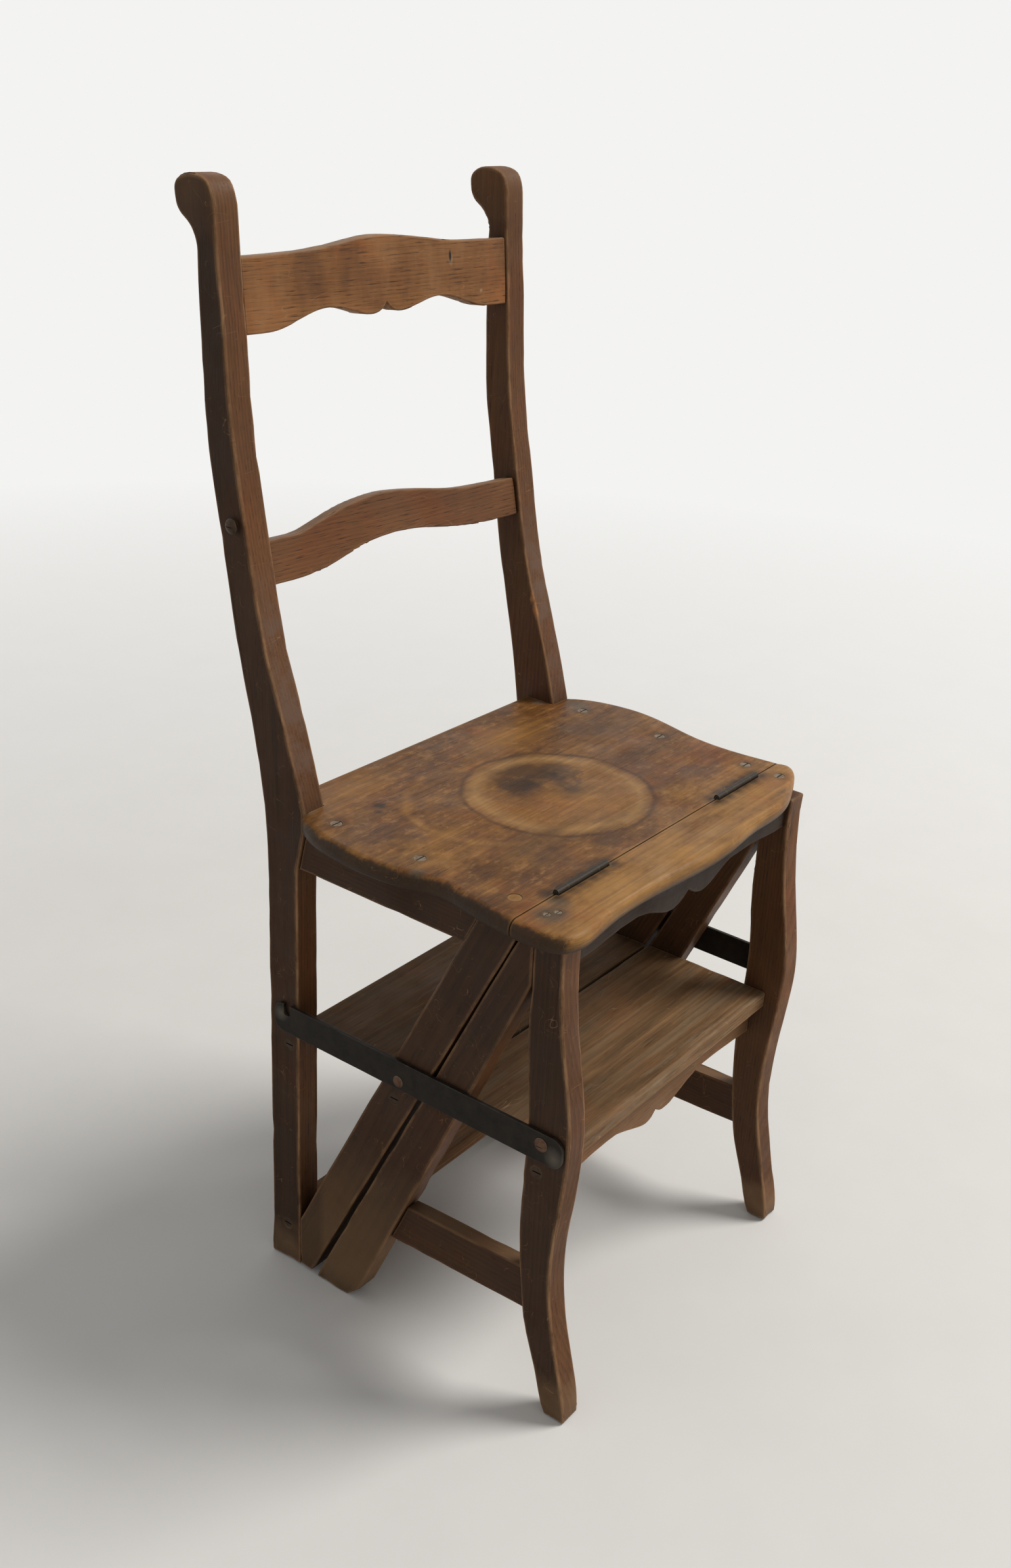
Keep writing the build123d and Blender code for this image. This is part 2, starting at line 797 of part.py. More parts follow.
def draw_round_head(head_radius, head_height, shank_radius, base, tail):
    """Half profile of a domed head above the height base, and of its shank down to the height tail."""
    Polyline(
        (0, base + head_height),
        (0, tail),
        (shank_radius, tail),
        (shank_radius, base),
        (head_radius, base),
    )
    TangentArc((0, base + head_height), (head_radius, base), tangent=(1, 0))


def make_rivet():
    """Round-headed rivet of a stay, its head's underside at the origin."""
    with BuildPart() as rivet:
        with BuildSketch(Plane.XZ):
            with BuildLine():
                draw_round_head(rivet_head_radius, rivet_head_height, rivet_radius, 0, -stay_thickness)
            make_face()
        revolve(axis=Axis.Z)
    return rivet.part


# Fasteners


def make_countersunk_screw(screw):
    """Slotted countersunk screw, its head's top at the origin and its shank pointing down."""
    head, shank, length = screw
    tip = shank * tip_share
    with BuildPart() as fastener:
        with BuildSketch(Plane.XZ):
            with BuildLine():
                Polyline(
                    (0, -screw_sink),
                    (head, -screw_sink),
                    (shank, shank - head - screw_sink),
                    (shank, tip - length),
                    (0, -length),
                    close=True,
                )
            make_face()
        revolve(axis=Axis.Z)
        with Locations((0, 0, -screw_sink)):
            Box(
                2 * head,
                head * slot_width_share,
                2 * head * slot_depth_share,
                mode=Mode.SUBTRACT,
            )
    return fastener.part


def make_round_screw():
    """Slotted round-headed screw that holds a stay; its head stands off by the stay and its gaps."""
    stand_off = stay_thickness + 2 * stay_gap
    with BuildPart() as fastener:
        with BuildSketch(Plane.XZ):
            with BuildLine():
                draw_round_head(
                    round_head_radius,
                    round_head_height,
                    round_shank_radius,
                    stand_off,
                    -round_shank_length,
                )
            make_face()
        revolve(axis=Axis.Z)
        with Locations((0, 0, stand_off + round_head_height)):
            Box(
                2 * round_head_radius,
                round_head_radius * slot_width_share / 2,
                2 * round_head_height * slot_depth_share,
                mode=Mode.SUBTRACT,
            )
    return fastener.part


def make_screw_group(fastener, places):
    """The same fastener at each of its places."""
    with BuildPart() as group:
        with Locations(*places):
            add(fastener)
    return group


# Assembly of the front half
for side_name, side in sides:
    leg = make_front_leg(side)
    save(leg, f"front_leg_{side_name}")
    stringer = make_front_stringer(side)
    save(stringer, f"front_stringer_{side_name}")
    save(make_side_stretcher(side, leg, stringer), f"side_stretcher_{side_name}")

lower_tread_back = front_split(tread_top)
save(
    make_tread(front_half_span, -lower_tread_front, lower_tread_back, tread_top, leg_screw_places),
    "lower_tread",
)
save(
    make_apron(
        front_half_span,
        tread_top - tread_thickness,
        tread_apron_front,
        tread_apron_thickness,
        tread_apron_height,
        tread_apron_shares,
    ),
    "lower_tread_apron",
)
save(
    make_apron(
        front_half_span,
        under_seat,
        seat_apron_front,
        seat_apron_thickness,
        seat_apron_height,
        seat_apron_shares,
    ),
    "seat_apron",
)
save(make_seat_board(-1), "seat_front_strip")

# Assembly of the rear half
top_rail_face = rail_plane(top_rail_place_shares, top_rail_lean_angle)
mid_rail_face = rail_plane(mid_rail_place_shares, mid_rail_lean_angle)
for side_name, side in sides:
    post = make_back_post(side)
    save(post, f"back_post_{side_name}")
    stringer = make_rear_stringer(side)
    save(stringer, f"rear_stringer_{side_name}")
    save(make_seat_rail(side, stringer, post), f"seat_rail_{side_name}")

save(make_seat_board(1), "seat_panel")
save(make_plug(), "seat_plug")
save(
    make_tread(
        rear_half_span,
        rear_split(tread_top),
        rear_leg_front + upper_tread_lap,
        tread_top,
        stringer_screw_places + post_screw_places,
        round_back=True,
    ),
    "upper_tread",
)
top_tread_back = rear_leg_front + rear_leg_depth - top_tread_inset
save(
    make_tread(
        rear_half_span,
        top_tread_back - top_tread_depth,
        top_tread_back,
        top_tread_top,
        foot_screw_places,
        round_back=True,
    ),
    "top_tread",
)
save(
    make_back_rail(
        top_rail_face,
        top_rail_height,
        top_rail_thickness,
        mirrored(top_rail_top_shares),
        mirrored(top_rail_bottom_shares),
        notched=True,
    ),
    "top_rail",
)
save(
    make_back_rail(
        mid_rail_face,
        mid_rail_height,
        mid_rail_thickness,
        mid_rail_top_shares,
        mid_rail_bottom_shares,
        notched=False,
    ),
    "mid_rail",
)

# Hinges and stays
for side_name, side in sides:
    save(make_hinge_leaf(side * hinge_centre, -1), f"hinge_front_leaf_{side_name}")
    save(make_hinge_leaf(side * hinge_centre, 1), f"hinge_rear_leaf_{side_name}")
    save(make_hinge_pin(side * hinge_centre), f"hinge_pin_{side_name}")
    save(make_stay(side), f"stay_{side_name}")
    rivet_place = side_place(side, rivet_y, stay_centre_height - rivet_drop)
    rivet = make_screw_group(make_rivet(), [rivet_place.offset(stay_gap + stay_thickness)])
    save(rivet, f"stay_rivet_{side_name}")

# Screws
side_fastener = make_countersunk_screw(side_screw)
seat_fastener = make_countersunk_screw(seat_screw)
leaf_fastener = make_countersunk_screw(leaf_screw)
round_fastener = make_round_screw()
save(make_screw_group(side_fastener, leg_screw_places), "lower_tread_screws")
save(
    make_screw_group(side_fastener, stringer_screw_places + post_screw_places + foot_screw_places),
    "rear_tread_screws",
)
save(make_screw_group(seat_fastener, panel_screw_places), "seat_panel_screws")
save(make_screw_group(seat_fastener, [strip_screw_place]), "seat_strip_screw")
save(make_screw_group(make_countersunk_screw(nail_screw), nail_places), "seat_strip_nails")
save(make_screw_group(leaf_fastener, leaf_screw_places(-1)), "hinge_front_screws")
save(make_screw_group(leaf_fastener, leaf_screw_places(1)), "hinge_rear_screws")
save(make_screw_group(round_fastener, pivot_places), "stay_pivot_screws")
save(make_screw_group(round_fastener, hook_places), "stay_hook_screws")
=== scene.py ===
import json
import math

import bmesh
import bpy
from mathutils import Matrix, Vector, noise


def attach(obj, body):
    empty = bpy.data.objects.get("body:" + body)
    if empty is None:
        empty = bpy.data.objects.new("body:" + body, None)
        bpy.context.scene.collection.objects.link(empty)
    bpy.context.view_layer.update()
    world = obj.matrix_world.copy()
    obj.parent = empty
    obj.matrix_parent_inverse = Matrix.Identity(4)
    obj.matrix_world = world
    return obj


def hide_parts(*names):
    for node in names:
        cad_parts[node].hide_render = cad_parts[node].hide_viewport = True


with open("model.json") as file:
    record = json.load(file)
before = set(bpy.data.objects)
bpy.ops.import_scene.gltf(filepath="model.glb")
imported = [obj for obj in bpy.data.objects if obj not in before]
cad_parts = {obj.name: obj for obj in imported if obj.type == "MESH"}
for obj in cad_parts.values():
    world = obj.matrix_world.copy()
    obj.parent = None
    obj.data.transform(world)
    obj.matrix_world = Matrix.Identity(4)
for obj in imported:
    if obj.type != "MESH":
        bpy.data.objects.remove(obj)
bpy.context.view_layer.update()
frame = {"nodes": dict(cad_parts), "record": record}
nodes = frame["nodes"]
bodies = frame["record"]["behaviour"]["bodies"]
body_of_node = {name: body for body, names in bodies.items() for name in names}
scene = bpy.context.scene
scene.view_settings.view_transform = "Standard"

WANDER_SEED = 7
noise.seed_set(WANDER_SEED)


def span_of(name, axis):
    """Least and greatest place of a node along an axis, in metres to the micrometre."""
    places = [corner.co[axis] for corner in nodes[name].data.vertices]
    return round(min(places), 6), round(max(places), 6)


SEAM_Y = round(sum(span_of("hinge_pin_left", 1)) / 2, 6)
SEAT_TOP = span_of("seat_panel", 2)[1]


def at_seam(x, y, z):
    """A place in metres from millimetres, with y counted from the hinge seam."""
    return (x / 1000, y / 1000 + SEAM_Y, z / 1000)


def on_seat(x, y):
    """A place on the seat's top in metres, from millimetres."""
    return at_seam(x, y, 1000 * SEAT_TOP)


# Camera


def place_camera():
    """The photograph's eye point, direction and framing."""
    photo_width, photo_height = 1540, 2388
    focal, centre_x, centre_y = 2445.4, 887.5, 1237.6
    azimuth, elevation, roll = -0.9810, 0.4434, 0.0754
    data = bpy.data.cameras.new("camera")
    data.sensor_width = 36
    data.lens = data.sensor_width * focal / photo_height
    data.shift_x = (photo_width / 2 - centre_x) / photo_height
    data.shift_y = (centre_y - photo_height / 2) / photo_height
    camera = bpy.data.objects.new("camera", data)
    scene.collection.objects.link(camera)
    scene.camera = camera
    look = Vector((
        -math.sin(azimuth) * math.cos(elevation),
        math.cos(azimuth) * math.cos(elevation),
        -math.sin(elevation),
    ))
    turn = look.to_track_quat("-Z", "Y") @ Matrix.Rotation(roll, 3, "Z").to_quaternion()
    camera.rotation_mode = "QUATERNION"
    camera.rotation_quaternion = turn
    camera.location = at_seam(-990.08, -583.69, 1011.67)


# Worn boards: copies of the solids with rubbed arrises and a hand-sawn wander


def long_arrises(board):
    """Convex sharp edges in long chains: the board's own arrises, but not the rims of its screw holes."""
    least, corner_angle = 0.1, math.radians(50)
    sharp = [e for e in board.edges if e.is_manifold and e.is_convex and e.calc_face_angle() > corner_angle]
    left = dict.fromkeys(sharp)
    arrises = []
    while left:
        chain = [next(iter(left))]
        del left[chain[0]]
        for edge in chain:
            for corner in edge.verts:
                for near in corner.link_edges:
                    if near in left:
                        del left[near]
                        chain.append(near)
        places = [corner.co for edge in chain for corner in edge.verts]
        sides = [max(along_axis) - min(along_axis) for along_axis in zip(*places)]
        if max(sides) > least:
            arrises += chain
    return arrises


def rub_corners(corners, depth):
    """Push the corners of a rubbed arris inwards here and there, and more at the feet."""
    foot_height, foot_depth = 0.012, 0.0014
    for corner in corners:
        wear = noise.noise(corner.co * 34) + 0.5 * noise.noise(corner.co * 95)
        foot = 1.0 - min(1.0, corner.co.z / foot_height)
        corner.co -= corner.normal * (depth * max(0.0, wear - 0.05) + foot_depth * foot * (1.0 + wear))


def wander(board, amount, keep):
    """A slow uneven wander of all the surfaces, but not along the axis keep."""
    for corner in board.verts:
        push = noise.noise_vector(corner.co * 22) * amount
        if keep is not None:
            push[keep] = 0.0
        corner.co += push


def worn_copy(name, bevel, depth, amount, keep):
    """A node's solid as an old board, which takes the node's place."""
    merge, flat_angle, smooth_angle, spacing = 1e-6, math.radians(0.2), math.radians(42), 0.014
    board = bmesh.new()
    board.from_mesh(nodes[name].data)
    bmesh.ops.remove_doubles(board, verts=board.verts, dist=merge)
    bmesh.ops.dissolve_limit(board, angle_limit=flat_angle, verts=board.verts, edges=board.edges)
    for edge in long_arrises(board):
        cuts = int(edge.calc_length() / spacing)
        if cuts:
            bmesh.ops.subdivide_edges(board, edges=[edge], cuts=cuts)
    rounded = bmesh.ops.bevel(
        board, geom=long_arrises(board), offset=bevel, offset_type="OFFSET", segments=3,
        profile=0.5, affect="EDGES", clamp_overlap=False, material=-1,
    )
    board.normal_update()
    rub_corners(rounded["verts"], depth)
    wander(board, amount, keep)
    board.normal_update()
    for face in board.faces:
        face.smooth = True
    for edge in board.edges:
        edge.smooth = edge.is_manifold and edge.calc_face_angle() < smooth_angle
    return finish_piece(name, board)


def finish_piece(name, board):
    """Make the piece's mesh, put it on the node's body and take the node's place."""
    mesh = bpy.data.meshes.new(f"worn_{name}")
    board.to_mesh(mesh)
    board.free()
    piece = bpy.data.objects.new(f"worn_{name}", mesh)
    scene.collection.objects.link(piece)
    flatten = piece.modifiers.new("flat faces, round arrises", "WEIGHTED_NORMAL")
    flatten.keep_sharp = True
    flatten.weight = 60
    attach(piece, body_of_node[name])
    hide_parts(name)
    return piece


# Small tools for shader nodes


def feed(tree, socket, value):
    """Link a socket to another one, or give it a plain value."""
    if isinstance(value, bpy.types.NodeSocket):
        tree.links.new(value, socket)
    else:
        socket.default_value = value


def put(tree, kind, settings=None, **inputs):
    """A shader node with its settings, and its inputs by name (or i0, i1 ... by number)."""
    made = tree.nodes.new(f"ShaderNode{kind}")
    for name, value in (settings or {}).items():
        setattr(made, name, value)
    for name, value in inputs.items():
        by_number = name[0] == "i" and name[1:].isdigit()
        feed(tree, made.inputs[int(name[1:]) if by_number else name.replace("_", " ")], value)
    return made


def calc(tree, operation, first, second=0.0, clamp=False):
    return put(tree, "Math", {"operation": operation, "use_clamp": clamp}, i0=first, i1=second).outputs[0]


def times(tree, first, second):
    return calc(tree, "MULTIPLY", first, second)


def plus(tree, first, second, clamp=False):
    return calc(tree, "ADD", first, second, clamp)


def minus(tree, first, second, clamp=False):
    return calc(tree, "SUBTRACT", first, second, clamp)


def stretch(tree, vector, scale, turn=(0, 0, 0), move=(0, 0, 0)):
    return put(tree, "Mapping", Vector=vector, Scale=scale, Rotation=turn, Location=move).outputs[0]


def cloud(tree, vector, scale, detail=3.0, roughness=0.5, distortion=0.0):
    made = put(tree, "TexNoise", Vector=vector, Scale=scale, Detail=detail, Roughness=roughness,
               Distortion=distortion)
    return made.outputs["Fac"]


def vector_calc(tree, operation, first, second):
    return put(tree, "VectorMath", {"operation": operation}, i0=first, i1=second).outputs[0]


def length_of(tree, vector):
    return put(tree, "VectorMath", {"operation": "LENGTH"}, i0=vector).outputs["Value"]


def axes(tree, vector):
    """The X, Y and Z of a place or a direction."""
    return put(tree, "SeparateXYZ", Vector=vector).outputs


def ramp(tree, value, low, high, to_low=0.0, to_high=1.0):
    made = put(tree, "MapRange", {"clamp": True}, i0=value, i1=low, i2=high, i3=to_low, i4=to_high)
    return made.outputs[0]


def blend(tree, factor, first, second, kind="MIX"):
    made = put(tree, "Mix", {"data_type": "RGBA", "blend_type": kind}, i0=factor, i6=first, i7=second)
    return made.outputs[2]


def rgb(red, green, blue):
    return (red, green, blue, 1.0)


def new_effect(name, inputs, outputs):
    """An empty shader group with named outputs and with named inputs, each with its usual value."""
    tree = bpy.data.node_groups.new(name, "ShaderNodeTree")
    for label, value in inputs.items():
        kind = "NodeSocketVector" if isinstance(value, tuple) else "NodeSocketFloat"
        socket = tree.interface.new_socket(name=label, in_out="INPUT", socket_type=kind)
        socket.default_value = value
    for label in outputs:
        tree.interface.new_socket(name=label, in_out="OUTPUT", socket_type="NodeSocketFloat")
    return tree, tree.nodes.new("NodeGroupInput").outputs, tree.nodes.new("NodeGroupOutput").inputs


def use_effect(tree, effect, **inputs):
    """Place a group in a material with its own values."""
    made = tree.nodes.new("ShaderNodeGroup")
    made.node_tree = effect
    for name, value in inputs.items():
        feed(tree, made.inputs[name.replace("_", " ")], value)
    return made.outputs


# Shared effects


def make_oak_grain():
    """Rings, fibres and pores of oak whose grain runs along X."""
    tree, given, out = new_effect(
        "oak_grain",
        {"Vector": (0.0, 0.0, 0.0), "Pith": (0.0, 0.11, 0.16), "Ring Width": 0.0032, "Wander": 0.012},
        ["Rings", "Fibres", "Pores", "Figure"],
    )
    vector = given["Vector"]
    slow = stretch(tree, vector, (0.18, 1, 1))
    drift = put(tree, "TexNoise", Vector=slow, Scale=13.0, Detail=2.0, Roughness=0.45).outputs["Color"]
    drift = vector_calc(tree, "SUBTRACT", drift, (0.5, 0.5, 0.5))
    drift = put(tree, "VectorMath", {"operation": "SCALE"}, i0=drift, Scale=given["Wander"]).outputs[0]
    moved = vector_calc(tree, "ADD", vector, drift)
    moved = vector_calc(tree, "ADD", moved, given["Pith"])
    radius = length_of(tree, vector_calc(tree, "MULTIPLY", moved, (0, 1, 1)))
    share = calc(tree, "FRACT", calc(tree, "DIVIDE", radius, given["Ring Width"]))
    late = calc(tree, "POWER", share, 1.6)
    fade = ramp(tree, share, 1.0, 0.86)
    feed(tree, out["Rings"], times(tree, late, fade))
    feed(tree, out["Fibres"], cloud(tree, stretch(tree, vector, (9, 430, 430)), 1.0, 3.0, 0.55))
    specks = cloud(tree, stretch(tree, vector, (62, 1150, 1150)), 1.0, 1.5, 0.5)
    early = ramp(tree, share, 0.55, 0.1, 0.35, 1.0)
    feed(tree, out["Pores"], times(tree, ramp(tree, specks, 0.55, 0.68), early))
    feed(tree, out["Figure"], cloud(tree, stretch(tree, vector, (2.6, 19, 19)), 1.0, 3.0, 0.55, 0.4))
    return tree


def make_worn_edges():
    """Mask of arrises that hands and feet have rubbed."""
    tree, given, out = new_effect(
        "worn_edges", {"Vector": (0.0, 0.0, 0.0), "Radius": 0.004, "Reach": 0.12, "Breakup": 45.0}, ["Mask"]
    )
    soft = put(tree, "Bevel", {"samples": 6}, Radius=given["Radius"]).outputs[0]
    true = put(tree, "NewGeometry").outputs["Normal"]
    same = put(tree, "VectorMath", {"operation": "DOT_PRODUCT"}, i0=soft, i1=true).outputs["Value"]
    edge = ramp(tree, minus(tree, 1.0, same), 0.01, given["Reach"])
    patches = ramp(tree, cloud(tree, given["Vector"], given["Breakup"], 4.0, 0.6), 0.36, 0.6, 0.25, 1.0)
    feed(tree, out["Mask"], times(tree, edge, patches))
    return tree


def make_grime_and_shade():
    """Mask of corners and joints from ambient occlusion: wax and dirt gathered there, and painted shade."""
    tree, given, out = new_effect(
        "grime_and_shade", {"Vector": (0.0, 0.0, 0.0), "Distance": 0.03, "Amount": 0.8}, ["Mask"]
    )
    # Ambient occlusion is darker where shade falls, so this mask paints shade as well as dirt.
    closed = put(tree, "AmbientOcclusion", {"samples": 6}, Distance=given["Distance"]).outputs["AO"]
    hidden = ramp(tree, closed, 0.92, 0.3)
    cloudy = ramp(tree, cloud(tree, given["Vector"], 38.0, 4.0, 0.6), 0.3, 0.62, 0.55, 1.0)
    feed(tree, out["Mask"], times(tree, times(tree, hidden, cloudy), given["Amount"]))
    return tree


def make_spot():
    """Mask of one mark with a soft uneven rim."""
    tree, given, out = new_effect(
        "spot",
        {"Vector": (0.0, 0.0, 0.0), "Centre": (0.0, 0.0, 0.0), "Stretch": (1.0, 1.0, 1.0), "Radius": 0.01,
         "Softness": 0.006, "Wobble": 0.006, "Detail": 60.0},
        ["Mask"],
    )
    away = vector_calc(tree, "SUBTRACT", given["Vector"], given["Centre"])
    reach = length_of(tree, vector_calc(tree, "MULTIPLY", away, given["Stretch"]))
    uneven = minus(tree, cloud(tree, given["Vector"], given["Detail"], 4.0, 0.6), 0.5)
    reach = plus(tree, reach, times(tree, uneven, times(tree, given["Wobble"], 2.0)))
    inner = minus(tree, given["Radius"], given["Softness"])
    outer = plus(tree, given["Radius"], given["Softness"])
    feed(tree, out["Mask"], ramp(tree, reach, inner, outer, 1.0, 0.0))
    return tree


def make_ring_mark():
    """Masks of the ring that a hot or wet pot leaves, and of the disc inside it."""
    tree, given, out = new_effect(
        "ring_mark",
        {"Vector": (0.0, 0.0, 0.0), "Centre": (0.0, 0.0, 0.0), "Radius": 0.08, "Width": 0.008,
         "Wobble": 0.004},
        ["Ring", "Rim", "Inside"],
    )
    reach = length_of(tree, vector_calc(tree, "SUBTRACT", given["Vector"], given["Centre"]))
    uneven = minus(tree, cloud(tree, given["Vector"], 26.0, 3.0, 0.55), 0.5)
    reach = plus(tree, reach, times(tree, uneven, times(tree, given["Wobble"], 2.0)))
    off = calc(tree, "ABSOLUTE", minus(tree, reach, given["Radius"]))
    broken = ramp(tree, cloud(tree, given["Vector"], 31.0, 4.0, 0.6), 0.34, 0.54, 0.45, 1.0)
    feed(tree, out["Ring"], times(tree, ramp(tree, off, given["Width"], 0.0), broken))
    outside = minus(tree, reach, plus(tree, given["Radius"], given["Width"]))
    rim = ramp(tree, calc(tree, "ABSOLUTE", outside), 0.0034, 0.0004)
    feed(tree, out["Rim"], times(tree, rim, broken))
    feed(tree, out["Inside"], ramp(tree, reach, given["Radius"], times(tree, given["Radius"], 0.86)))
    return tree


def make_knocks():
    """Fine scratches and small dents of a century of use."""
    tree, given, out = new_effect(
        "knocks", {"Vector": (0.0, 0.0, 0.0), "Amount": 1.0}, ["Scratches", "Dents"]
    )
    vector = given["Vector"]
    lines = []
    for turn, scale in (((0.4, 0.2, 0.5), 14.0), ((1.3, 0.9, 2.1), 19.0)):
        field = cloud(tree, stretch(tree, vector, (1.0, 5.0, 5.0), turn), scale, 1.0, 0.4, 0.6)
        near = ramp(tree, calc(tree, "ABSOLUTE", minus(tree, field, 0.5)), 0.0055, 0.001)
        some = ramp(tree, cloud(tree, vector, 33.0 + scale, 2.0), 0.57, 0.66)
        lines.append(times(tree, near, some))
    feed(tree, out["Scratches"], times(tree, calc(tree, "MAXIMUM", *lines), given["Amount"]))
    pits = put(tree, "TexVoronoi", {"feature": "F1"}, Vector=vector, Scale=85.0, Randomness=1.0)
    few = ramp(tree, cloud(tree, vector, 21.0, 2.0), 0.56, 0.68)
    dents = times(tree, ramp(tree, pits.outputs["Distance"], 0.2, 0.0), few)
    feed(tree, out["Dents"], times(tree, dents, given["Amount"]))
    return tree


OAK_GRAIN = make_oak_grain()
WORN_EDGES = make_worn_edges()
GRIME_AND_SHADE = make_grime_and_shade()
SPOT = make_spot()
RING_MARK = make_ring_mark()
KNOCKS = make_knocks()


# Materials


def new_material(name):
    """A material without any shader nodes yet, and its tree."""
    material = bpy.data.materials.new(name)
    material.use_nodes = True
    material.node_tree.nodes.clear()
    return material, material.node_tree


def object_place(tree):
    return put(tree, "TexCoord").outputs["Object"]


def object_facing(tree):
    """The surface's direction on the piece itself: a finish keeps its side when the chair turns over."""
    return axes(tree, put(tree, "TexCoord").outputs["Normal"])


def finish_material(tree, colour, roughness, height, bump=0.35, distance=0.0006, metallic=0.0):
    """Bump, shader and output of a material with the soft sheen of old wax."""
    normal = put(tree, "Bump", Strength=bump, Distance=distance, Height=height).outputs[0]
    shader = put(tree, "BsdfPrincipled", Base_Color=colour, Roughness=roughness, Normal=normal,
                 Metallic=metallic, Specular_IOR_Level=0.18)
    put(tree, "OutputMaterial", Surface=shader.outputs[0])


def along(angle):
    """Turn of the grain for a board in the side frames that rises at an angle from the floor."""
    return (-math.radians(angle), 0.0, -math.pi / 2)


ACROSS = (0.0, 0.0, 0.0)
# The darkest tone darkens pores and screw holes, and is painted shade in corners and on the flanks.
GRIME_AND_SHADE_TONE, DUST_TONE = rgb(0.012, 0.0075, 0.0045), rgb(0.3, 0.2, 0.115)
# The under tone is painted shade, with some dirt, below the boards.
UNDER_SHADE_TONE, REDDER = rgb(0.03, 0.0165, 0.0085), rgb(1.25, 0.92, 0.72)
DARK_STREAK, PALE_STREAK = rgb(0.42, 0.36, 0.32), rgb(1.6, 1.55, 1.45)
SIDE_SCREWS = ((-21, 235), (123.7, 235), (242, 235), (246, 42))


def oak_colour(tree, place, grain, dark, light):
    """The colour of a board from its grain, with darker stains and redder patches."""
    tone = times(tree, grain["Rings"], 0.3)
    tone = plus(tree, tone, times(tree, ramp(tree, grain["Fibres"], 0.25, 0.75), 0.36))
    tone = plus(tree, tone, times(tree, ramp(tree, grain["Figure"], 0.3, 0.7), 0.44), clamp=True)
    colour = blend(tree, tone, dark, light)
    stains = ramp(tree, cloud(tree, place, 7.5, 4.0, 0.62, 0.5), 0.42, 0.68)
    colour = blend(tree, times(tree, stains, 0.5), colour, dark)
    warmth = ramp(tree, cloud(tree, place, 13.0, 4.0, 0.6, 0.4), 0.5, 0.68)
    return blend(tree, times(tree, warmth, 0.5), colour, REDDER, "MULTIPLY")


def paint_side_shade(tree, place, facing, colour, outside, inside):
    """Painted shade on the flanks of a side board, by other shares outside and inside the frame."""
    inner_face, outer_face = 0.165, 0.172
    shaded_flank = ramp(tree, calc(tree, "ABSOLUTE", facing["X"]), 0.75, 0.95)
    sideways = calc(tree, "ABSOLUTE", axes(tree, place)["X"])
    share = ramp(tree, sideways, inner_face, outer_face, inside, outside)
    return blend(tree, times(tree, shaded_flank, share), colour, blend(tree, 0.82, colour, GRIME_AND_SHADE_TONE))


def streak(tree, grain_place, colour, strength):
    """Fine dark and pale streaks along the grain."""
    lines = cloud(tree, stretch(tree, grain_place, (5, 330, 330)), 1.0, 5.0, 0.7)
    dark = times(tree, ramp(tree, lines, 0.54, 0.38), strength)
    colour = blend(tree, dark, colour, DARK_STREAK, "MULTIPLY")
    pale = times(tree, ramp(tree, lines, 0.52, 0.66), strength)
    return blend(tree, pale, colour, PALE_STREAK, "MULTIPLY")


def lay_dust(tree, facing, smear, colour, strength):
    """Dust on the faces that look up when the chair stands as a chair."""
    lying = times(tree, ramp(tree, facing["Z"], 0.5, 0.95), ramp(tree, smear, 0.0, 1.0, 0.5, 1.0))
    return blend(tree, times(tree, lying, strength), colour, DUST_TONE)


def paint_under_shade(tree, facing, colour, strength):
    """A dark lower edge, and a third of that darkness on the flat underside: painted shade, with some dirt.
    """
    level = ramp(tree, facing["Z"], -0.99, -0.9, 0.35, 1.0)
    low = times(tree, ramp(tree, facing["Z"], 0.3, -0.4), level)
    return blend(tree, times(tree, low, strength), colour, UNDER_SHADE_TONE)


